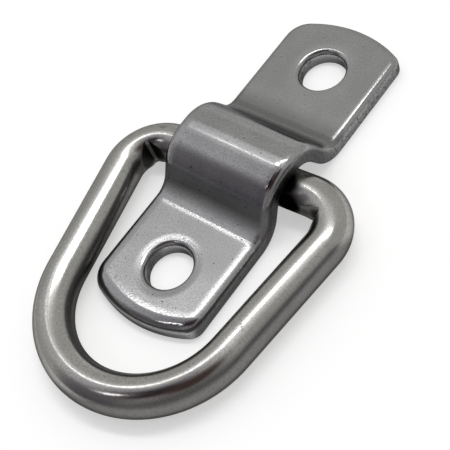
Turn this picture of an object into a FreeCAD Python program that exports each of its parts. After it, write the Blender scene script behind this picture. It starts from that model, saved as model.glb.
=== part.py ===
import FreeCAD, Part
import math
import os
import Sketcher
from FreeCAD import Placement, Rotation, Vector

# Driving dimensions, in millimetres and degrees.
# The origin is midway between the two fixing holes on the mounting face. +Z is up from that face,
# +Y runs along the plate away from the ring's bow, and +X runs across the plate along the ring's bar.

SIZES = [
    ("strip_width", 26.4, "flat strip across the plate"),
    ("strip_thickness", 3.4, "flat strip gauge"),
    ("plate_length", 76.0, "over the two rounded ends"),
    ("end_arc_radius", 26.0, "large arc of each end"),
    ("left_corner_radius", 5.4, "corner between an end arc and the -X side"),
    ("right_corner_radius", 3.0, "corner between an end arc and the +X side"),
    ("upper_edge_radius", 1.6, "tumbled upper edge"),
    ("lower_edge_radius", 0.4, "tumbled lower edge"),
    ("hole_spacing", 51.6, "between the fixing holes"),
    ("hole_diameter", 9.4, "clearance for an 8 mm bolt"),
    ("hole_rim_radius", 1.4, "rolled-over rim on the punched side"),
    ("saddle_offset", 0.9, "saddle off centre, towards the bow"),
    ("saddle_top_flat", 1.8, "flat along the top of the saddle"),
    ("saddle_wall_angle", 59.0, "wall to the mounting face"),
    ("saddle_wall_length", 2.6, "straight part of each wall"),
    ("bar_headroom", 0.5, "over the ring's bar in the saddle"),
    ("bar_side_play", 1.4, "saddle's inner radius over the bar's radius"),
    ("rod_diameter", 8.0, "round rod of the ring"),
    ("ring_length", 50.6, "bar's centre line to the bow's"),
    ("ring_bar_length", 32.0, "straight part of the bar"),
    ("ring_corner_radius", 7.9, "centre line of the two tight bends"),
    ("ring_flank_angle", 9.3, "each flank leans in towards the bow"),
    ("crease_reach", 6.3, "tight bend's centre to the bottom of the crease inside it"),
    ("crease_offset", 0.3, "crease off the bend's middle, towards the bar"),
    ("crease_width", 0.7, "blunt bottom of the crease"),
    ("crease_side_angle", 37.5, "each side of the crease to its axis"),
    ("ring_skew", 3.5, "ring turned in its play about the vertical"),
    ("ring_side_shift", 0.4, "ring slid along its bar"),
    ("ring_bar_shift", 0.9, "bar off the saddle's middle, towards the bow"),
]

INNER_HEIGHT = "Sizes.rod_diameter + Sizes.bar_headroom"
INNER_BEND = "Sizes.rod_diameter / 2 + Sizes.bar_side_play"
TOP_PLACE = "Sizes.saddle_top_flat / 2 + Sizes.saddle_offset"
END_CENTRE = "Sizes.plate_length / 2 - Sizes.end_arc_radius"
FRAME_REACH = "Sizes.plate_length / 2 + Sizes.strip_thickness"
CREASE_SLOPE = "135 + Sizes.ring_flank_angle / 2"

# Sketcher's names for the origin, the axes and the points of a line or an arc.

ORIGIN_POINT = (-1, 1)
HORIZONTAL_AXIS, VERTICAL_AXIS = -1, -2
START, END, CENTRE = range(1, 4)

# Lengths and directions closer than this count as the same.

SAME = 0.001

doc = FreeCAD.newDocument("RingOnPlate")
sheet = doc.addObject("Spreadsheet::Sheet", "Sizes")
for row, (alias, value, note) in enumerate(SIZES, start=1):
    sheet.set(f"A{row}", alias)
    sheet.set(f"B{row}", str(value))
    sheet.set(f"C{row}", note)
    sheet.setAlias(f"B{row}", alias)
doc.recompute()


def size(alias):
    return float(sheet.get(alias))


def new_body(name):
    body = doc.addObject("PartDesign::Body", name)
    body.Label = name
    return body


def origin_plane(body, role):
    return next(item for item in body.Origin.OriginFeatures if item.Role == role)


def new_sketch(body, name, plane_role):
    sketch = body.newObject("Sketcher::SketchObject", name)
    sketch.AttachmentSupport = (origin_plane(body, plane_role), [""])
    sketch.MapMode = "FlatFace"
    return sketch


def constrain(sketch, *parts):
    return sketch.addConstraint(Sketcher.Constraint(*parts))


# A constraint whose value follows the sheet, with its value now as the last argument.


def drive(sketch, name, expression, *parts):
    index = constrain(sketch, *parts)
    sketch.renameConstraint(index, name)
    sketch.setExpression(f"Constraints.{name}", expression)


def add_line(sketch, start, end, construction=False):
    return sketch.addGeometry(Part.LineSegment(Vector(*start), Vector(*end)), construction)


def add_arc(sketch, centre, radius, start_angle, end_angle):
    circle = Part.Circle(Vector(*centre), Vector(0, 0, 1), radius)
    return sketch.addGeometry(Part.ArcOfCircle(circle, start_angle, end_angle), False)


def near_end(sketch, curve, point):
    gaps = [sketch.getPoint(curve, end).distanceToPoint(Vector(*point)) for end in (START, END)]
    return START if gaps[0] < gaps[1] else END


def join(sketch, kind, first, second, point):
    ends = near_end(sketch, first, point), near_end(sketch, second, point)
    constrain(sketch, kind, first, ends[0], second, ends[1])


# Distance from the origin to a point that lies on a known side of it.


def drive_from_origin(sketch, name, expression, kind, side, curve, end, value):
    points = (*ORIGIN_POINT, curve, end) if side > 0 else (curve, end, *ORIGIN_POINT)
    drive(sketch, name, expression, kind, *points, value)


# The plate's side view, with Y across the sketch and Z up it.
# From the flat top each half goes round a bend, down a short wall and round a foot bend to its tab.
# The foot bend takes the radius that the height leaves.


def plate_side_view(plate):
    sketch = new_sketch(plate, "SideView", "YZ_Plane")
    thickness = size("strip_thickness")
    half_length = size("plate_length") / 2
    middle = -size("saddle_offset")
    half_flat = size("saddle_top_flat") / 2
    angle = math.radians(size("saddle_wall_angle"))
    wall = size("saddle_wall_length")
    inner_height = size("rod_diameter") + size("bar_headroom")
    inner_bend = size("rod_diameter") / 2 + size("bar_side_play")
    outer_foot = (inner_height - wall * math.sin(angle)) / (1 - math.cos(angle)) - inner_bend
    bend_height = inner_height - inner_bend

    def surface(height, bend, foot):
        # One face of the strip: its flat top, then the bend, wall, foot bend and tab of each half.
        top_ends = [(middle + side * half_flat, bend_height + bend) for side in (-1, 1)]
        top = add_line(sketch, *top_ends)
        constrain(sketch, "Horizontal", top)
        halves = []
        for side, top_end in zip((-1, 1), top_ends):
            bend_end = (
                top_end[0] + side * bend * math.sin(angle),
                bend_height + bend * math.cos(angle),
            )
            wall_end = (
                bend_end[0] + side * wall * math.cos(angle),
                bend_end[1] - wall * math.sin(angle),
            )
            tab_start = (wall_end[0] + side * foot * math.sin(angle), height)
            turn = (0, angle) if side < 0 else (-angle, 0)
            quarter = math.pi / 2
            bend_arc = add_arc(sketch, (top_end[0], bend_height), bend, quarter + turn[0], quarter + turn[1])
            wall_line = add_line(sketch, wall_end, bend_end)
            foot_centre = (tab_start[0], height + foot)
            foot_arc = add_arc(sketch, foot_centre, foot, 3 * quarter + turn[0], 3 * quarter + turn[1])
            tab = add_line(sketch, tab_start, (side * half_length, height))
            join(sketch, "Tangent", top, bend_arc, top_end)
            join(sketch, "Tangent", bend_arc, wall_line, bend_end)
            join(sketch, "Tangent", wall_line, foot_arc, wall_end)
            join(sketch, "Tangent", foot_arc, tab, tab_start)
            constrain(sketch, "Horizontal", tab)
            halves.append((bend_arc, wall_line, foot_arc, tab))
        return top, halves

    lower_top, lower_halves = surface(0, inner_bend, outer_foot)
    upper_top, upper_halves = surface(thickness, inner_bend + thickness, outer_foot - thickness)
    for side, name, lower, upper in zip((-1, 1), ("Bow", "Far"), lower_halves, upper_halves):
        bend_arc, wall_line, foot_arc, tab = lower
        corners = [(side * half_length, height) for height in (0, thickness)]
        end = add_line(sketch, *corners)
        join(sketch, "Coincident", end, tab, corners[0])
        join(sketch, "Coincident", end, upper[3], corners[1])
        constrain(sketch, "Vertical", end)
        constrain(sketch, "PointOnObject", tab, END, HORIZONTAL_AXIS)
        constrain(sketch, "Coincident", bend_arc, CENTRE, upper[0], CENTRE)
        constrain(sketch, "Coincident", foot_arc, CENTRE, upper[2], CENTRE)
        slope = angle if side < 0 else math.pi - angle
        slope_rule = "Sizes.saddle_wall_angle" if side < 0 else "180 - Sizes.saddle_wall_angle"
        drive(sketch, f"{name}Thickness", "Sizes.strip_thickness", "Distance", end, thickness)
        drive(sketch, f"{name}Bend", INNER_BEND, "Radius", bend_arc, inner_bend)
        drive(sketch, f"{name}Slope", slope_rule, "Angle", wall_line, slope)
        drive(sketch, f"{name}Wall", "Sizes.saddle_wall_length", "Distance", wall_line, wall)
        drive_from_origin(
            sketch, f"{name}Length", "Sizes.plate_length / 2", "DistanceX", side, end, START, half_length
        )
    top_flat = (lower_top, START, lower_top, END, 2 * half_flat)
    top_gauge = (lower_top, START, upper_top, START, thickness)
    drive(sketch, "TopFlat", "Sizes.saddle_top_flat", "DistanceX", *top_flat)
    drive(sketch, "TopThickness", "Sizes.strip_thickness", "DistanceY", *top_gauge)
    drive_from_origin(
        sketch, "InnerHeight", INNER_HEIGHT, "DistanceY", 1, lower_top, START, inner_height
    )
    drive_from_origin(
        sketch, "TopPlace", TOP_PLACE, "DistanceX", -1, lower_top, START, half_flat - middle
    )
    return sketch


# The plate from above: straight sides, and ends that are large arcs with a corner arc at each side.


def plate_top_view(plate):
    sketch = new_sketch(plate, "TopView", "XY_Plane")
    half_width = size("strip_width") / 2
    half_length = size("plate_length") / 2
    end_radius = size("end_arc_radius")
    end_centre = half_length - end_radius
    corner_names = {-1: "left_corner_radius", 1: "right_corner_radius"}
    corner_radii = {x: size(name) for x, name in corner_names.items()}
    corner_rise = {
        x: math.sqrt((end_radius - radius) ** 2 - (half_width - radius) ** 2)
        for x, radius in corner_radii.items()
    }

    sides = {}
    for x, name in ((-1, "Left"), (1, "Right")):
        reach = end_centre + corner_rise[x]
        sides[x] = add_line(sketch, (x * half_width, -reach), (x * half_width, reach))
        constrain(sketch, "Vertical", sides[x])
        drive_from_origin(
            sketch, f"{name}Side", "Sizes.strip_width / 2", "DistanceX", x, sides[x], START, half_width
        )
    for y, end_name in ((-1, "Bow"), (1, "Far")):
        # Directions from the end arc's centre to where it meets the left and the right corner.
        meets = {
            x: math.atan2(y * corner_rise[x], x * (half_width - corner_radii[x])) for x in (-1, 1)
        }
        first, last = sorted(meets.values())
        end = add_arc(sketch, (0, y * end_centre), end_radius, first, last)
        constrain(sketch, "PointOnObject", end, CENTRE, VERTICAL_AXIS)
        drive(sketch, f"{end_name}Arc", "Sizes.end_arc_radius", "Radius", end, end_radius)
        drive_from_origin(
            sketch, f"{end_name}Centre", END_CENTRE, "DistanceY", y, end, CENTRE, end_centre
        )
        for x, side_name in ((-1, "Left"), (1, "Right")):
            radius = corner_radii[x]
            centre = (x * (half_width - radius), y * (end_centre + corner_rise[x]))
            side_direction = 0 if x > 0 else math.pi * y
            turn = sorted((side_direction, meets[x]))
            corner = add_arc(sketch, centre, radius, *turn)
            tip = (end_radius * math.cos(meets[x]), y * end_centre + end_radius * math.sin(meets[x]))
            join(sketch, "Tangent", corner, sides[x], (x * half_width, centre[1]))
            join(sketch, "Tangent", corner, end, tip)
            drive(
                sketch, f"{end_name}{side_name}", f"Sizes.{corner_names[x]}", "Radius", corner, radius
            )
    # A frame round the strip: what lies between it and the outline is cut away.
    frame_width = size("strip_width")
    frame_reach = half_length + size("strip_thickness")
    corners = [(x * frame_width, y * frame_reach) for x, y in ((-1, -1), (1, -1), (1, 1), (-1, 1))]
    next_corners = corners[1:] + corners[:1]
    frame = [add_line(sketch, *ends) for ends in zip(corners, next_corners)]
    for first, second, corner in zip(frame, frame[1:] + frame[:1], next_corners):
        join(sketch, "Coincident", first, second, corner)
    for line, kind, rule, value, name, side in (
        (frame[0], "DistanceY", FRAME_REACH, frame_reach, "FrameBow", -1),
        (frame[1], "DistanceX", "Sizes.strip_width", frame_width, "FrameRight", 1),
        (frame[2], "DistanceY", FRAME_REACH, frame_reach, "FrameFar", 1),
        (frame[3], "DistanceX", "Sizes.strip_width", frame_width, "FrameLeft", -1),
    ):
        constrain(sketch, "Horizontal" if kind == "DistanceY" else "Vertical", line)
        drive_from_origin(sketch, name, rule, kind, side, line, START, value)
    return sketch


def fixing_holes(plate):
    sketch = new_sketch(plate, "HoleCentres", "XY_Plane")
    reach = size("hole_spacing") / 2
    radius = size("hole_diameter") / 2
    for y, name in ((-1, "Bow"), (1, "Far")):
        circle = Part.Circle(Vector(0, y * reach), Vector(0, 0, 1), radius)
        hole = sketch.addGeometry(circle, False)
        constrain(sketch, "PointOnObject", hole, CENTRE, VERTICAL_AXIS)
        drive(sketch, f"{name}Hole", "Sizes.hole_diameter", "Diameter", hole, 2 * radius)
        drive_from_origin(
            sketch, f"{name}Reach", "Sizes.hole_spacing / 2", "DistanceY", y, hole, CENTRE, reach
        )
    return sketch


# Edges are found by form: a face of the strip is upper or lower by the way that its middle looks.


def upward(face):
    u_low, u_high, v_low, v_high = face.ParameterRange
    return face.normalAt((u_low + u_high) / 2, (v_low + v_high) / 2).z


def outline_edges(shape, direction):
    # Where the upper (1) or lower (-1) surface meets the upright sides and ends.
    names = []
    for number, edge in enumerate(shape.Edges, start=1):
        looks = [upward(face) for face in shape.ancestorsOfType(edge, Part.Face)]
        upright = any(abs(look) < SAME for look in looks)
        if upright and any(look * direction > SAME for look in looks):
            names.append(f"Edge{number}")
    return names


def rim_edges(shape, radius, height):
    # The holes' edges at a height.
    names = []
    for number, edge in enumerate(shape.Edges, start=1):
        curve = edge.Curve
        level = edge.BoundBox.ZLength < SAME and abs(edge.BoundBox.ZMin - height) < SAME
        if level and isinstance(curve, Part.Circle) and abs(curve.Radius - radius) < SAME:
            names.append(f"Edge{number}")
    return names


def round_edges(body, name, base, edges, alias):
    fillet = body.newObject("PartDesign::Fillet", name)
    fillet.Base = (base, edges)
    fillet.Radius = size(alias)
    fillet.setExpression("Radius", f"Sizes.{alias}")
    doc.recompute()
    return fillet


def cut_through(body, name, sketch):
    pocket = body.newObject("PartDesign::Pocket", name)
    pocket.Profile = sketch
    pocket.Type = "ThroughAll"
    pocket.Reversed = True
    doc.recompute()
    return pocket


# One length of strip pressed up into a saddle, trimmed, tumbled and punched from above.


def saddle_plate():
    plate = new_body("saddle_plate")
    strip = plate.newObject("PartDesign::Pad", "Strip")
    strip.Profile = plate_side_view(plate)
    strip.Midplane = True
    strip.setExpression("Length", "Sizes.strip_width + Sizes.strip_thickness")
    doc.recompute()
    blank = cut_through(plate, "Blank", plate_top_view(plate))
    upper = round_edges(plate, "UpperEdge", blank, outline_edges(blank.Shape, 1), "upper_edge_radius")
    lower = round_edges(plate, "LowerEdge", upper, outline_edges(upper.Shape, -1), "lower_edge_radius")
    punched = cut_through(plate, "Punched", fixing_holes(plate))
    rims = rim_edges(punched.Shape, size("hole_diameter") / 2, size("strip_thickness"))
    round_edges(plate, "HoleRims", punched, rims, "hole_rim_radius")
    return plate


# The ring's centre line from above, with the bow towards -Y.
# Each side goes round a tight bend, down a straight flank that leans in, and into the bow.
# The bow takes the radius that the length leaves.


def ring_centre_line(ring):
    sketch = new_sketch(ring, "CentreLine", "XY_Plane")
    half_bar = size("ring_bar_length") / 2
    corner = size("ring_corner_radius")
    length = size("ring_length")
    lean = math.radians(size("ring_flank_angle"))
    bow = (half_bar * math.cos(lean) + corner * (1 + math.sin(lean)) - length * math.sin(lean)) / (
        1 - math.sin(lean)
    )
    bow_centre = (0, bow - length)
    bow_arc = add_arc(sketch, bow_centre, bow, math.pi + lean, 2 * math.pi - lean)
    constrain(sketch, "PointOnObject", bow_arc, CENTRE, VERTICAL_AXIS)
    tip = sketch.addGeometry(Part.Point(Vector(0, -length)), True)
    constrain(sketch, "PointOnObject", tip, START, VERTICAL_AXIS)
    constrain(sketch, "PointOnObject", tip, START, bow_arc)
    drive_from_origin(sketch, "Length", "Sizes.ring_length", "DistanceY", -1, tip, START, length)
    quarter = math.pi / 2
    for x, name in ((1, "Right"), (-1, "Left")):
        bar_end = (x * half_bar, 0)
        corner_centre = (x * half_bar, -corner)
        turn = (-lean, quarter) if x > 0 else (quarter, math.pi + lean)
        bend_end = (
            corner_centre[0] + x * corner * math.cos(lean),
            corner_centre[1] - corner * math.sin(lean),
        )
        flank_end = (x * bow * math.cos(lean), bow_centre[1] - bow * math.sin(lean))
        bar = add_line(sketch, (0, 0), bar_end)
        bend = add_arc(sketch, corner_centre, corner, *turn)
        flank = add_line(sketch, flank_end, bend_end)
        constrain(sketch, "Coincident", bar, START, *ORIGIN_POINT)
        constrain(sketch, "Horizontal", bar)
        join(sketch, "Tangent", bar, bend, bar_end)
        join(sketch, "Tangent", bend, flank, bend_end)
        join(sketch, "Tangent", flank, bow_arc, flank_end)
        drive(sketch, f"{name}Bar", "Sizes.ring_bar_length / 2", "Distance", bar, half_bar)
        drive(sketch, f"{name}Bend", "Sizes.ring_corner_radius", "Radius", bend, corner)
        if x > 0:
            drive(sketch, "FlankAngle", "90 - Sizes.ring_flank_angle", "Angle", flank, quarter - lean)
    return sketch


# The tight bends were pressed round the corners of a former, which creased the rod inside them.
# This is the left corner of the former from above: a blunt nose, two sides and a line across the eye.


def crease_outline(ring):
    sketch = new_sketch(ring, "CreaseOutline", "XY_Plane")
    bend_centre = Vector(-size("ring_bar_length") / 2, -size("ring_corner_radius"))
    slope = math.radians(135 + size("ring_flank_angle") / 2)
    half_angle = math.radians(size("crease_side_angle"))
    width = size("crease_width")
    reach = size("crease_reach")
    outward = Vector(math.cos(slope), math.sin(slope))
    to_bar = Vector(math.sin(slope), -math.cos(slope))
    bottom = bend_centre + outward * reach
    axis = add_line(sketch, bend_centre, bottom, construction=True)
    drive_from_origin(
        sketch, "BendAcross", "Sizes.ring_bar_length / 2", "DistanceX", -1, axis, START, -bend_centre.x
    )
    drive_from_origin(
        sketch, "BendAlong", "Sizes.ring_corner_radius", "DistanceY", -1, axis, START, -bend_centre.y
    )
    drive(sketch, "Slope", CREASE_SLOPE, "Angle", axis, slope)
    drive(sketch, "Reach", "Sizes.crease_reach", "Distance", axis, reach)

    bar_share = width / 2 + size("crease_offset")
    bar_corner = bottom + to_bar * bar_share
    flank_corner = bar_corner - to_bar * width
    nose = add_line(sketch, bar_corner, flank_corner)
    constrain(sketch, "Perpendicular", nose, axis)
    constrain(sketch, "PointOnObject", axis, END, nose)
    share_rule = "Sizes.crease_width / 2 + Sizes.crease_offset"
    drive(sketch, "BarShare", share_rule, "Distance", axis, END, nose, START, bar_share)
    drive(sketch, "Width", "Sizes.crease_width", "Distance", nose, width)

    edges, far_corners = [], []
    side_length = size("ring_bar_length") / 2
    for name, sign, corner in (("Bar", 1, bar_corner), ("Flank", -1, flank_corner)):
        turn = slope + sign * half_angle
        turn_rule = f"{CREASE_SLOPE} + {sign} * Sizes.crease_side_angle"
        far_corner = corner - Vector(math.cos(turn), math.sin(turn)) * side_length
        edge = add_line(sketch, far_corner, corner)
        join(sketch, "Coincident", edge, nose, corner)
        drive(sketch, f"{name}Slope", turn_rule, "Angle", edge, turn)
        drive(sketch, f"{name}Side", "Sizes.ring_bar_length / 2", "Distance", edge, side_length)
        edges.append(edge)
        far_corners.append(far_corner)
    across = add_line(sketch, *far_corners)
    for edge, far_corner in zip(edges, far_corners):
        join(sketch, "Coincident", across, edge, far_corner)
    return sketch


# One length of round rod, bent and butt-welded shut in the middle of the bar.


def d_ring():
    ring = new_body("d_ring")
    centre_line = ring_centre_line(ring)
    section = new_sketch(ring, "Section", "YZ_Plane")
    circle = section.addGeometry(Part.Circle(Vector(), Vector(0, 0, 1), size("rod_diameter") / 2), False)
    constrain(section, "Coincident", circle, CENTRE, *ORIGIN_POINT)
    drive(section, "Diameter", "Sizes.rod_diameter", "Diameter", circle, size("rod_diameter"))
    doc.recompute()
    rod = ring.newObject("PartDesign::AdditivePipe", "Rod")
    rod.Profile = section
    rod.Spine = centre_line
    doc.recompute()
    crease = ring.newObject("PartDesign::Pocket", "Crease")
    crease.Profile = crease_outline(ring)
    crease.Type = "ThroughAll"
    crease.Midplane = True
    doc.recompute()
    creases = ring.newObject("PartDesign::Mirrored", "Creases")
    creases.Originals = [crease]
    creases.MirrorPlane = (origin_plane(ring, "YZ_Plane"), [""])
    ring.Tip = creases
    ring.Placement = Placement(Vector(), Rotation(Vector(0, 0, 1), size("ring_skew")))
    ring.setExpression("Placement.Rotation.Angle", "Sizes.ring_skew")
    ring.setExpression("Placement.Base.x", "Sizes.ring_side_shift")
    ring.setExpression("Placement.Base.y", "-Sizes.saddle_offset - Sizes.ring_bar_shift")
    ring.setExpression("Placement.Base.z", "Sizes.rod_diameter / 2")
    doc.recompute()
    return ring


def main():
    nodes = saddle_plate(), d_ring()
    failed = [item.Name for item in doc.Objects if {"Invalid", "Error"} & set(item.State)]
    failed += [node.Name for node in nodes if node.Shape.isNull() or not node.Shape.isValid()]
    if failed:
        raise RuntimeError("These did not build: " + ", ".join(failed))
    os.makedirs("parts", exist_ok=True)
    for node in nodes:
        node.Shape.exportStep(f"parts/{node.Label}.step")
        print(f"{node.Label}: {node.Shape.Volume:.1f} cubic mm")


main()
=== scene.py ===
import bpy, math
from mathutils import Matrix, Vector

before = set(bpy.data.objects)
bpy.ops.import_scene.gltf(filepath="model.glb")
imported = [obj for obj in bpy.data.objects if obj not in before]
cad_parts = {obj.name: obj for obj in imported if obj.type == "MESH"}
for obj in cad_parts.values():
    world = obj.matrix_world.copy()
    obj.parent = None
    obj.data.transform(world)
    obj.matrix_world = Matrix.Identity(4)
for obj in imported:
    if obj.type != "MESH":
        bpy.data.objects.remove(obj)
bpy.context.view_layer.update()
print("frame loaded:", ", ".join(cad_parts))


def hexColour(text):  # sRGB hex to linear red, green, blue and alpha
    parts = [int(text[start:start + 2], 16) / 255 for start in (1, 3, 5)]
    return [part / 12.92 if part <= 0.04045 else ((part + 0.055) / 1.055) ** 2.4 for part in parts] + [1.0]


# Adds one node: values go on its sockets, links join other nodes' outputs to them.
def addNode(tree, kind, values=None, links=None, **settings):
    node = tree.nodes.new(kind)
    for name, value in settings.items():
        setattr(node, name, value)
    for socket, value in (values or {}).items():
        node.inputs[socket].default_value = value
    for socket, source in (links or {}).items():
        tree.links.new(source, node.inputs[socket])
    return node


def perMm(size):  # texture scale of a pattern that repeats every so many millimetres
    return 1000 / size


def towards(azimuth, elevation):  # azimuth turns from +X towards +Y
    turn, rise = math.radians(azimuth), math.radians(elevation)
    return Vector((math.cos(turn) * math.cos(rise), math.sin(turn) * math.cos(rise), math.sin(rise)))


# The strongest of some spots. Each has a centre, the distances from it where the spot fades
# out and where it's full, and its share.
def nearSpots(tree, place, spots):
    strongest = None
    for centre, fade, full, share in spots:
        gap = addNode(tree, "ShaderNodeVectorMath", {1: centre}, {0: place}, operation="DISTANCE")
        spot = addNode(tree, "ShaderNodeMapRange", {"From Min": fade, "From Max": full, "To Max": share},
                       {"Value": gap.outputs["Value"]}, interpolation_type="SMOOTHSTEP").outputs["Result"]
        if strongest:
            spot = addNode(tree, "ShaderNodeMath", None, {0: strongest, 1: spot},
                           operation="MAXIMUM").outputs[0]
        strongest = spot
    return strongest


# What both steels share. A range holds the noise values where a pattern starts and is full.
bothSteels = {
    "cloudDetail": 3.0,
    "grainDetail": 2.0,
    "waveDetail": 1.0,
    "cloudRange": (0.35, 0.65),
    "grainRange": (0.42, 0.72),         # of the grain's colour
    "roughnessRange": (0.3, 0.7),       # of the grain's roughness
    "stainAndShadeRoughness": 0.25,             # a full stain or full painted shade adds this much roughness
}


def steelMaterial(name, look, stainAndShadeMask, shapeHeight=None, dullMask=None, grainMask=None):
    material = bpy.data.materials.new(name)
    material.use_nodes = True
    tree = material.node_tree
    tree.nodes.clear()
    place = addNode(tree, "ShaderNodeTexCoord").outputs["Object"]
    cloud, grain, wave = (
        addNode(tree, "ShaderNodeTexNoise",
                {"Scale": perMm(look[pattern + "Mm"]), "Detail": bothSteels[pattern + "Detail"]},
                {"Vector": place}).outputs["Fac"] for pattern in ("cloud", "grain", "wave"))
    # a share of the cells, drawn by their colour, holds a pit
    cells = addNode(tree, "ShaderNodeTexVoronoi", {"Scale": perMm(look["pitMm"])}, {"Vector": place})
    inPit = addNode(tree, "ShaderNodeMapRange",
                    {"From Min": look["pitSize"], "From Max": look["pitSize"] / 2},
                    {"Value": cells.outputs["Distance"]}, interpolation_type="SMOOTHSTEP")
    cellDraw = addNode(tree, "ShaderNodeSeparateColor", None, {"Color": cells.outputs["Color"]})
    chosen = addNode(tree, "ShaderNodeMath", {1: look["pitShare"]}, {0: cellDraw.outputs["Red"]},
                     operation="LESS_THAN")
    pit = addNode(tree, "ShaderNodeMath", None, {0: inPit.outputs["Result"], 1: chosen.outputs[0]},
                  operation="MULTIPLY").outputs[0]

    start, full = bothSteels["cloudRange"]
    cloudShare = addNode(tree, "ShaderNodeMapRange", {"From Min": start, "From Max": full}, {"Value": cloud})
    clouded = addNode(tree, "ShaderNodeMix", {6: hexColour(look["steel"]), 7: hexColour(look["steelCloud"])},
                      {0: cloudShare.outputs["Result"]}, data_type="RGBA").outputs[2]
    start, full = bothSteels["grainRange"]
    grainShare = addNode(tree, "ShaderNodeMapRange", {"From Min": start, "From Max": full}, {"Value": grain})
    clean = addNode(tree, "ShaderNodeMix", {7: hexColour(look["grainColour"])},
                    {0: grainShare.outputs["Result"], 6: clouded}, data_type="RGBA").outputs[2]
    # The mask holds real flecks, specks and marks and also painted shade; both are mixed in with the stain
    # colour.
    stainAndShadeAmount = addNode(tree, "ShaderNodeMath", {1: look["stainAndShadeShare"]}, {0: stainAndShadeMask(tree, place, look)},
                      operation="MULTIPLY").outputs[0]
    stainedAndShaded = addNode(tree, "ShaderNodeMix", {7: hexColour(look["stainAndShadeColour"])}, {0: stainAndShadeAmount, 6: clean},
                   data_type="RGBA").outputs[2]
    colour = addNode(tree, "ShaderNodeMix", {7: hexColour(look["pitColour"])}, {0: pit, 6: stainedAndShaded},
                     data_type="RGBA").outputs[2]

    start, full = bothSteels["roughnessRange"]
    halfSpread = look["roughnessSpread"] / 2
    roughness = addNode(tree, "ShaderNodeMapRange", {
        "From Min": start, "From Max": full, "To Min": look["roughness"] - halfSpread,
        "To Max": look["roughness"] + halfSpread}, {"Value": grain}).outputs["Result"]
    roughness = addNode(tree, "ShaderNodeMath", {1: bothSteels["stainAndShadeRoughness"]}, {0: stainAndShadeAmount, 2: roughness},
                        operation="MULTIPLY_ADD").outputs[0]
    if dullMask:
        roughness = addNode(tree, "ShaderNodeMath", None, {0: dullMask(tree, place, look), 1: roughness},
                            operation="ADD").outputs[0]

    waved = addNode(tree, "ShaderNodeBump", {"Distance": look["waveHeightMm"] / 1000}, {"Height": wave})
    if shapeHeight:
        shaped = addNode(tree, "ShaderNodeBump", {"Distance": 1.0},     # the height is in metres already
                         {"Height": shapeHeight(tree, place, look)})
        tree.links.new(shaped.outputs["Normal"], waved.inputs["Normal"])
    grained = addNode(tree, "ShaderNodeBump", {"Distance": look["grainHeightMm"] / 1000},
                      {"Height": grain, "Normal": waved.outputs["Normal"]})
    if grainMask:
        tree.links.new(grainMask(tree, place, look), grained.inputs["Strength"])
    pitted = addNode(tree, "ShaderNodeBump", {"Distance": look["pitHeightMm"] / 1000},
                     {"Height": pit, "Normal": grained.outputs["Normal"]}, invert=True)
    shader = addNode(tree, "ShaderNodeBsdfPrincipled",
                     {"Metallic": 1.0, "Specular Tint": hexColour(look["edgeTint"])},
                     {"Base Color": colour, "Roughness": roughness, "Normal": pitted.outputs["Normal"]})
    addNode(tree, "ShaderNodeOutputMaterial", None, {"Surface": shader.outputs["BSDF"]})
    return material
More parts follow.
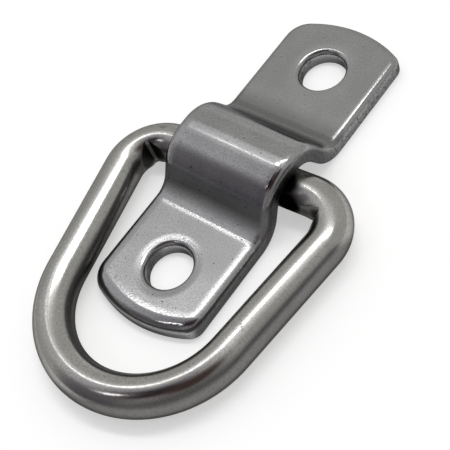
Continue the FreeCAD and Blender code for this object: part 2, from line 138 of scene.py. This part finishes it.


# Stainless 304 strip, pressed and barrel tumbled. It gives a soft satin mirror with a fine
# grain, faint clouds and small pits. Tumbling rolled the surface over gently for some
# millimetres inside its edges, and the sheared edge faces stayed duller, with dark flecks.
# Painted shade darkens those faces between the flecks, and also the ends, the far fold and the bores.
# Lengths are in metres where their name doesn't say millimetres.
stripFinish = {
    "steel": "#A4A4A4",
    "steelCloud": "#9A9A9B",
    "edgeTint": "#8E8E8E",
    "grainColour": "#8E8E8E",
    "pitColour": "#484644",
    # dark of the flecks and the speck, and of the painted shade on sheared faces, ends, far fold and bores
    "stainAndShadeColour": "#353434",
    "stainAndShadeShare": 0.8,
    "roughness": 0.11,
    "roughnessSpread": 0.06,
    "cloudMm": 8.0,
    "grainMm": 0.38,                    # the real grain is finer, this is as fine as the picture can show
    "grainHeightMm": 0.008,
    "waveMm": 9.0,
    "waveHeightMm": 0.05,
    "pitMm": 1.3,
    "pitSize": 0.14,                    # share of a cell
    "pitShare": 0.50,
    "pitHeightMm": 0.02,
    "fleckMm": 0.6,
    "fleckDetail": 3.0,
    # the outline that the rolls follow: half the strip's width, and the end arc's radius and centre
    "halfWidth": 0.0132,
    "endArcRadius": 0.026,
    "endArcCentre": 0.012,
    # how wide and how deep the surface rolls over inside the sides and, in two steps, inside the ends
    "sideRoll": (0.0028, 0.00015),
    "endRolls": [(0.0030, 0.00046), (0.0043, 0.00013)],
    "rollStops": (0.006, 0.014),        # y where the rolls fade out: the far tab kept crisper edges
    "holes": [((0, -0.0258, 0), 0.00013), ((0, 0.0258, 0), 0.00004)],   # middle and depth of the roll
    "holeRoll": (0.0051, 0.0072),       # distances from the hole's middle where the roll starts and ends
    "lipReach": (0.0051, 0.0061),       # there the punched rim is flatter than a plain round
    "lipHeight": 0.000175,
    # the press left the saddle's top and the near tab's root leaning towards the bow: y from, to, rise
    "leans": [(-0.0044, 0.0001, 0.00041), (-0.0153, -0.0133, 0.00016)],
    # bands across the strip: their middle, where they fade out, where they're full, share
    "dullBands": [
        ((0, 0.0078, 0.0070), 0.0040, 0.0020, 0.20),
        ((0, 0.0098, 0.0050), 0.0016, 0.0006, 0.28),
        ((0, -0.0112, 0.0058), 0.0040, 0.0020, 0.34),
        ((0, -0.0260, 0.0034), 0.0145, 0.0115, 0.06),
        ((0, 0.0260, 0.0034), 0.0145, 0.0115, 0.04),
        ((0, -0.0143, 0.0034), 0.0032, 0.0012, 0.10),
    ],
    # painted shade on the far wall and in the far fold
    "foldShadeBands": [
        ((0, 0.0076, 0.0075), 0.0034, 0.0024, 0.22),
        ((0, 0.0122, 0.0034), 0.0044, 0.0004, 0.58),
    ],
    "specks": [((-0.0059, -0.0082, 0.0091), 0.0005, 0.0001, 0.9)],
    # round the foot of each hole's axis: where it fades out, where it's full, share
    # painted shade in the bores, darker towards their foot
    "boreShade": (0.0054, 0.0047, 0.7),
    "rimDull": (0.0088, 0.0068, 0.05),
    "rimSmooth": (0.0088, 0.0068, 0.9),
    "smoothSaddle": (0.0115, 0.0135, 0.2),  # y either way where it ends, from and to, and the grain left
    "shearedFacing": (0.72, 0.94),      # how squarely a face looks sideways where it starts and is full
    "shearedFlecks": (0.50, 0.66),      # noise where flecks start and are full
    "shearedShade": (0.30, 0.88),        # share of painted shade between the flecks, far and near
    "endShadeFacing": (0.80, 0.97, 0.45),    # how squarely a face looks endways, as above, and its share of painted shade
    "endShadeReach": (0.028, 0.034),         # y either way where the ends' painted shade starts and is full
}


# Height in metres of what tumbling and pressing did to the strip's flat faces.
def stripHeight(tree, place, look):
    at = addNode(tree, "ShaderNodeSeparateXYZ", None, {"Vector": place})
    across = addNode(tree, "ShaderNodeMath", None, {0: at.outputs["X"]}, operation="ABSOLUTE")
    along = addNode(tree, "ShaderNodeMath", None, {0: at.outputs["Y"]}, operation="ABSOLUTE")
    sideGap = addNode(tree, "ShaderNodeMath", {0: look["halfWidth"]}, {1: across.outputs[0]},
                      operation="SUBTRACT")
    arcY = addNode(tree, "ShaderNodeMath", {1: look["endArcCentre"]}, {0: along.outputs[0]},
                   operation="SUBTRACT")
    spoke = addNode(tree, "ShaderNodeCombineXYZ", None, {"X": across.outputs[0], "Y": arcY.outputs[0]})
    reach = addNode(tree, "ShaderNodeVectorMath", None, {0: spoke.outputs[0]}, operation="LENGTH")
    endGap = addNode(tree, "ShaderNodeMath", {0: look["endArcRadius"]}, {1: reach.outputs["Value"]},
                     operation="SUBTRACT")
    height = None
    for gap, (width, depth) in [(sideGap, look["sideRoll"])] + [(endGap, roll) for roll in look["endRolls"]]:
        rolled = addNode(tree, "ShaderNodeMapRange", {"From Max": width, "To Min": -depth, "To Max": 0.0},
                         {"Value": gap.outputs[0]}, interpolation_type="SMOOTHSTEP").outputs["Result"]
        if height:
            rolled = addNode(tree, "ShaderNodeMath", None, {0: height, 1: rolled}, operation="ADD").outputs[0]
        height = rolled
    full, gone = look["rollStops"]
    nearSide = addNode(tree, "ShaderNodeMapRange", {"From Min": gone, "From Max": full},
                       {"Value": at.outputs["Y"]}, interpolation_type="SMOOTHSTEP")
    height = addNode(tree, "ShaderNodeMath", None, {0: height, 1: nearSide.outputs["Result"]},
                     operation="MULTIPLY").outputs[0]
    flat = addNode(tree, "ShaderNodeVectorMath", {1: (1, 1, 0)}, {0: place}, operation="MULTIPLY")
    for middle, depth in look["holes"]:
        reach = addNode(tree, "ShaderNodeVectorMath", {1: middle}, {0: flat.outputs[0]}, operation="DISTANCE")
        for (start, end), rise in ((look["holeRoll"], -depth), (look["lipReach"], look["lipHeight"])):
            step = addNode(tree, "ShaderNodeMapRange",
                           {"From Min": start, "From Max": end, "To Min": rise, "To Max": 0.0},
                           {"Value": reach.outputs["Value"]}, interpolation_type="SMOOTHSTEP")
            height = addNode(tree, "ShaderNodeMath", None, {0: height, 1: step.outputs["Result"]},
                             operation="ADD").outputs[0]
    for start, end, rise in look["leans"]:
        lean = addNode(tree, "ShaderNodeMapRange", {"From Min": start, "From Max": end, "To Max": rise},
                       {"Value": at.outputs["Y"]}, interpolation_type="SMOOTHSTEP").outputs["Result"]
        height = addNode(tree, "ShaderNodeMath", None, {0: height, 1: lean}, operation="ADD").outputs[0]
    return height


# Flecks and painted shade on the sheared faces at the sides, painted shade on the ends, in
# the far fold and in the bores, and a dark speck on the near wall.
def stripStainAndShade(tree, place, look):
    normal = addNode(tree, "ShaderNodeTexCoord").outputs["Normal"]
    facing = addNode(tree, "ShaderNodeSeparateXYZ", None, {"Vector": normal})
    at = addNode(tree, "ShaderNodeSeparateXYZ", None, {"Vector": place})
    sideways = addNode(tree, "ShaderNodeMath", None, {0: facing.outputs["X"]}, operation="ABSOLUTE")
    start, full = look["shearedFacing"]
    sheared = addNode(tree, "ShaderNodeMapRange", {"From Min": start, "From Max": full},
                      {"Value": sideways.outputs[0]})
    # painted shade between the real flecks, stronger on the near tab
    nearY, farY = look["rollStops"]
    farShade, nearShade = look["shearedShade"]
    shadeBetween = addNode(tree, "ShaderNodeMapRange",
                   {"From Min": farY, "From Max": nearY, "To Min": farShade, "To Max": nearShade},
                   {"Value": at.outputs["Y"]}, interpolation_type="SMOOTHSTEP")
    flecks = addNode(tree, "ShaderNodeTexNoise",
                     {"Scale": perMm(look["fleckMm"]), "Detail": look["fleckDetail"]}, {"Vector": place})
    start, full = look["shearedFlecks"]
    patchy = addNode(tree, "ShaderNodeMapRange", {"From Min": start, "From Max": full},
                     {"Value": flecks.outputs["Fac"], "To Min": shadeBetween.outputs["Result"]})
    sides = addNode(tree, "ShaderNodeMath", None, {0: sheared.outputs["Result"], 1: patchy.outputs["Result"]},
                    operation="MULTIPLY").outputs[0]
    # painted shade on the end faces of both tabs
    endways = addNode(tree, "ShaderNodeMath", None, {0: facing.outputs["Y"]}, operation="ABSOLUTE")
    start, full, share = look["endShadeFacing"]
    endShade = addNode(tree, "ShaderNodeMapRange", {"From Min": start, "From Max": full, "To Max": share},
                      {"Value": endways.outputs[0]})
    along = addNode(tree, "ShaderNodeMath", None, {0: at.outputs["Y"]}, operation="ABSOLUTE")
    start, full = look["endShadeReach"]
    outer = addNode(tree, "ShaderNodeMapRange", {"From Min": start, "From Max": full},
                    {"Value": along.outputs[0]})
    ends = addNode(tree, "ShaderNodeMath", None, {0: endShade.outputs["Result"], 1: outer.outputs["Result"]},
                   operation="MULTIPLY").outputs[0]
    # painted shade in the far fold
    section = addNode(tree, "ShaderNodeVectorMath", {1: (0, 1, 1)}, {0: place}, operation="MULTIPLY")
    fold = nearSpots(tree, section.outputs[0], look["foldShadeBands"])
    # painted shade in the bores, darker towards their foot
    bores = [(middle, *look["boreShade"]) for middle, depth in look["holes"]]
    spots = nearSpots(tree, place, look["specks"] + bores)
    stainAndShade = sides
    for more in (ends, fold, spots):
        stainAndShade = addNode(tree, "ShaderNodeMath", None, {0: stainAndShade, 1: more}, operation="MAXIMUM").outputs[0]
    return stainAndShade


# Roughness added in the two folds at the saddle's feet, where the tumbling stones don't reach,
# a little on both tabs and a little more round the holes.
def stripDull(tree, place, look):
    section = addNode(tree, "ShaderNodeVectorMath", {1: (0, 1, 1)}, {0: place}, operation="MULTIPLY")
    bands = nearSpots(tree, section.outputs[0], look["dullBands"])
    rims = nearSpots(tree, place, [(middle, *look["rimDull"]) for middle, depth in look["holes"]])
    return addNode(tree, "ShaderNodeMath", None, {0: bands, 1: rims}, operation="ADD").outputs[0]


# Strength of the grain: full on the tabs and little on the saddle and round the holes, which
# the stones rubbed smoother.
def stripGrain(tree, place, look):
    at = addNode(tree, "ShaderNodeSeparateXYZ", None, {"Vector": place})
    along = addNode(tree, "ShaderNodeMath", None, {0: at.outputs["Y"]}, operation="ABSOLUTE")
    start, end, left = look["smoothSaddle"]
    grain = addNode(tree, "ShaderNodeMapRange", {"From Min": start, "From Max": end, "To Min": left},
                    {"Value": along.outputs[0]}, interpolation_type="SMOOTHSTEP").outputs["Result"]
    rims = nearSpots(tree, place, [(middle, *look["rimSmooth"]) for middle, depth in look["holes"]])
    return addNode(tree, "ShaderNodeMath", None, {0: grain, 1: rims}, operation="SUBTRACT").outputs[0]


# Stainless 304 rod, drawn, bent and mechanically polished. It gives a bright mirror blurred by
# fine brushing, with faint specks and clouds, and painted shade in the creases of its bends.
rodFinish = {
    "steel": "#ACABA8",
    "steelCloud": "#A3A29F",
    "edgeTint": "#8E8E8E",
    "grainColour": "#989795",
    "pitColour": "#5A5854",
    # dark of the nick and the scratch, and of the painted shade in the creases, beside the saddle and on the
    # shaded sides
    "stainAndShadeColour": "#100F0F",
    "stainAndShadeShare": 1.0,
    "roughness": 0.19,
    "roughnessSpread": 0.06,
    "cloudMm": 6.0,
    "grainMm": 0.4,                     # as coarse as the strip's, for the same reason
    "grainHeightMm": 0.0025,
    "waveMm": 7.0,
    "waveHeightMm": 0.02,
    "pitMm": 2.2,
    "pitSize": 0.08,
    "pitShare": 0.22,
    "pitHeightMm": 0.01,
    # painted shade round the creases' bottoms and beside the saddle, where some dirt lies too: centre, where
    # it fades out, where it's full, share, in metres
    "creaseShadeSpots": [
        ((-0.01925, -0.00755, 0.0040), 0.0042, 0.0022, 0.86),
        ((-0.0190, -0.0112, 0.0045), 0.0036, 0.0008, 0.70),
        ((0.0206, -0.0051, 0.0040), 0.0042, 0.0018, 0.88),
        ((0.0128, -0.0020, 0.0072), 0.0040, 0.0014, 1.0),
        ((0.0136, -0.0052, 0.0050), 0.0048, 0.0020, 1.0),
        ((0.0172, -0.0052, 0.0040), 0.0034, 0.0006, 0.75),
    ],
    # a nick across the bow and a scratch on the bend, each drawn as three small spots in a row
    "marks": [
        ((0.0227, -0.0301, 0.0080), 0.0004, 0.0001, 0.5),
        ((0.0231, -0.0304, 0.0079), 0.0004, 0.0001, 0.5),
        ((0.0235, -0.0307, 0.0079), 0.0004, 0.0001, 0.5),
        ((-0.0190, -0.0026, 0.0079), 0.0005, 0.0001, 0.35),
        ((-0.0186, -0.0025, 0.0079), 0.0005, 0.0001, 0.35),
        ((-0.0182, -0.0023, 0.0079), 0.0005, 0.0001, 0.35),
    ],
    "shadedFaces": (315, -15),            # azimuth and elevation of the side that gets painted shade
    "sideShade": (0.28, 0.55, 0.51),         # how squarely a face looks that way, from and to, and the share of painted shade
    "eyeCentre": (0, -0.028, 0.004),
    "eyeShade": (0.55, 0.92, 0.62),      # the same painted shade for the sides that face the ring's eye
}


# Painted shade round the bottoms of the two creases and beside the saddle, where some dirt
# lies too, and low on the bow's outer right side and on the ring's inner sides. The nick and
# the scratch are drawn dark with the same colour.
def rodMarksAndShade(tree, place, look):
    normal = addNode(tree, "ShaderNodeTexCoord").outputs["Normal"]
    outside = addNode(tree, "ShaderNodeVectorMath", {1: towards(*look["shadedFaces"])}, {0: normal},
                      operation="DOT_PRODUCT")
    inwards = addNode(tree, "ShaderNodeVectorMath", {0: look["eyeCentre"]}, {1: place}, operation="SUBTRACT")
    inwards = addNode(tree, "ShaderNodeVectorMath", None, {0: inwards.outputs[0]}, operation="NORMALIZE")
    inside = addNode(tree, "ShaderNodeVectorMath", None, {0: inwards.outputs[0], 1: normal},
                     operation="DOT_PRODUCT")
    stainAndShade = nearSpots(tree, place, look["creaseShadeSpots"] + look["marks"])
    for facing, (start, full, share) in ((outside, look["sideShade"]), (inside, look["eyeShade"])):
        sideShade = addNode(tree, "ShaderNodeMapRange", {"From Min": start, "From Max": full, "To Max": share},
                       {"Value": facing.outputs["Value"]}, interpolation_type="SMOOTHSTEP").outputs["Result"]
        stainAndShade = addNode(tree, "ShaderNodeMath", None, {0: stainAndShade, 1: sideShade}, operation="MAXIMUM").outputs[0]
    return stainAndShade


steels = {
    "saddle_plate": steelMaterial("tumbledStainlessStrip", stripFinish, stripStainAndShade, stripHeight, stripDull,
                                  stripGrain),
    "d_ring": steelMaterial("brushedStainlessRod", rodFinish, rodMarksAndShade),
}
for nodeName, steel in steels.items():
    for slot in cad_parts[nodeName].material_slots:
        slot.material = steel
print("finishes made")


# The room round the table, as the metal sees it: pale walls, brighter over the far side and
# dark where the photographer stands. Each patch fades out from inner to outer degrees.
room = {
    "brightness": 1.35,
    "walls": "#BCBCB9",
    "patches": [
        {"azimuth": 190, "elevation": 54, "inner": 8, "outer": 34, "colour": "#CFCFD1"},
        {"azimuth": 105, "elevation": 82, "inner": 2, "outer": 36, "colour": "#F0F0F0"},
        {"azimuth": 205, "elevation": 74, "inner": 4, "outer": 24, "colour": "#A9A7AD"},
        {"azimuth": 325, "elevation": 5, "inner": 35, "outer": 62, "colour": "#8F8E8D"},
        {"azimuth": 160, "elevation": 60, "inner": 2, "outer": 14, "colour": "#F4F4F4"},
        {"azimuth": 248, "elevation": 12, "inner": 4, "outer": 30, "colour": "#55535A"},
        {"azimuth": 246, "elevation": 38, "inner": 4, "outer": 35, "colour": "#6A666B"},
        {"azimuth": 305, "elevation": 60, "inner": 14, "outer": 38, "colour": "#8D878A"},
        {"azimuth": 260, "elevation": 66, "inner": 10, "outer": 22, "colour": "#261A21"},
        {"azimuth": 124, "elevation": 4, "inner": 4, "outer": 18, "colour": "#D2D2D1"},
        {"azimuth": 324, "elevation": 60, "inner": 11, "outer": 23, "colour": "#45342F"},
        {"azimuth": 5, "elevation": 4, "inner": 8, "outer": 23, "colour": "#5C5D64"},
    ],
}
world = bpy.data.worlds.new("room")
bpy.context.scene.world = world
world.use_nodes = True
tree = world.node_tree
tree.nodes.clear()
direction = addNode(tree, "ShaderNodeTexCoord").outputs["Generated"]
shade = None
for patch in room["patches"]:
    facing = addNode(tree, "ShaderNodeVectorMath", {1: towards(patch["azimuth"], patch["elevation"])},
                     {0: direction}, operation="DOT_PRODUCT")
    fade, full = (math.cos(math.radians(patch[ring])) for ring in ("outer", "inner"))
    share = addNode(tree, "ShaderNodeMapRange", {"From Min": fade, "From Max": full},
                    {"Value": facing.outputs["Value"]}, interpolation_type="SMOOTHSTEP")
    painted = addNode(tree, "ShaderNodeMix", {6: hexColour(room["walls"]), 7: hexColour(patch["colour"])},
                      {0: share.outputs["Result"]}, data_type="RGBA")
    if shade:
        tree.links.new(shade, painted.inputs[6])
    shade = painted.outputs[2]
sky = addNode(tree, "ShaderNodeBackground", {"Strength": room["brightness"]}, {"Color": shade})
addNode(tree, "ShaderNodeOutputWorld", None, {"Surface": sky.outputs["Background"]})

# Softboxes on the ceiling, facing down. centre, length and width are shares of the ceiling's
# height, turn is the long side's angle from +X, and radiance is the face's brightness (1 is white).
ceiling = 2.0
lamps = [
    {"name": "mainSoftbox", "centre": (-0.06, 0.365), "length": 0.72, "width": 0.14, "turn": 22,
     "radiance": 8.5},
    {"name": "endSoftbox", "centre": (-0.6233, 0.1212), "length": 0.13, "width": 0.055, "turn": 169,
     "radiance": 9},
    {"name": "rimSoftbox", "centre": (-0.4583, 0.1668), "length": 0.10, "width": 0.06, "turn": 160,
     "radiance": 9},
    {"name": "sideSoftbox", "centre": (-0.36, -0.62), "length": 0.22, "width": 0.10, "turn": 60,
     "radiance": 6},
]
for lamp in lamps:
    light = bpy.data.lights.new(lamp["name"], "AREA")
    light.shape = "RECTANGLE"
    light.size, light.size_y = lamp["length"] * ceiling, lamp["width"] * ceiling
    light.energy = lamp["radiance"] * math.pi * light.size * light.size_y
    holder = bpy.data.objects.new(lamp["name"], light)
    bpy.context.scene.collection.objects.link(holder)
    holder.location = (lamp["centre"][0] * ceiling, lamp["centre"][1] * ceiling, ceiling)
    holder.rotation_euler = (0, 0, math.radians(lamp["turn"]))
print("room and lamps set")

# Matt white paper under the part. It keeps the part's shadow, and a little is added to what
# the camera and the metal see of it, so that the sheet reads as clean white. It lies a hair
# lower than the tabs, so that the two faces don't coincide.
paper = {"colour": "#DEDEDE", "lift": 0.46, "size": 4.0, "drop": 0.00002}
bpy.ops.object.select_all(action="DESELECT")
bpy.ops.mesh.primitive_plane_add(size=paper["size"], location=(0, 0, -paper["drop"]))
floor = bpy.context.object
floor.name = "paper"
sheet = bpy.data.materials.new("mattWhitePaper")
sheet.use_nodes = True
tree = sheet.node_tree
tree.nodes.clear()
matt = addNode(tree, "ShaderNodeBsdfDiffuse", {"Color": hexColour(paper["colour"])})
rays = addNode(tree, "ShaderNodeLightPath")
seen = rays.outputs["Is Camera Ray"]
for rayKind in ("Is Glossy Ray", "Is Transmission Ray"):
    seen = addNode(tree, "ShaderNodeMath", None, {0: seen, 1: rays.outputs[rayKind]}, operation="ADD",
                   use_clamp=True).outputs[0]
lift = addNode(tree, "ShaderNodeMath", {1: paper["lift"]}, {0: seen}, operation="MULTIPLY")
glow = addNode(tree, "ShaderNodeEmission", None, {"Strength": lift.outputs[0]})
both = addNode(tree, "ShaderNodeAddShader", None, {0: matt.outputs[0], 1: glow.outputs[0]})
addNode(tree, "ShaderNodeOutputMaterial", None, {"Surface": both.outputs[0]})
floor.data.materials.append(sheet)

# The photograph's camera: above the right side, looking down past the saddle to the bow.
view = {
    "azimuth": 60.597,                  # 0 looks along +Y, 90 along -X
    "elevation": 52.899,
    "roll": -27.931,
    "distance": 0.208925,
    "aim": (-0.000046, -0.010855, -0.003666),
    "lens": 84.852,
    "sensor": 36,
    "clip": (0.01, 20),
}
turn, rise, roll = (math.radians(view[angle]) for angle in ("azimuth", "elevation", "roll"))
back = Vector((math.sin(turn) * math.cos(rise), -math.cos(turn) * math.cos(rise), math.sin(rise)))
level = Vector((math.cos(turn), math.sin(turn), 0))
upright = back.cross(level)
imageX = math.cos(roll) * level + math.sin(roll) * upright
imageY = -math.sin(roll) * level + math.cos(roll) * upright
lensData = bpy.data.cameras.new("photoCamera")
lensData.lens = view["lens"]
lensData.sensor_width = view["sensor"]
lensData.clip_start, lensData.clip_end = view["clip"]
camera = bpy.data.objects.new("photoCamera", lensData)
bpy.context.scene.collection.objects.link(camera)
camera.matrix_world = (Matrix.Translation(Vector(view["aim"]) + back * view["distance"])
                       @ Matrix((imageX, imageY, back)).transposed().to_4x4())
bpy.context.scene.camera = camera
bpy.context.scene.view_settings.view_transform = "Standard"
print("camera set")
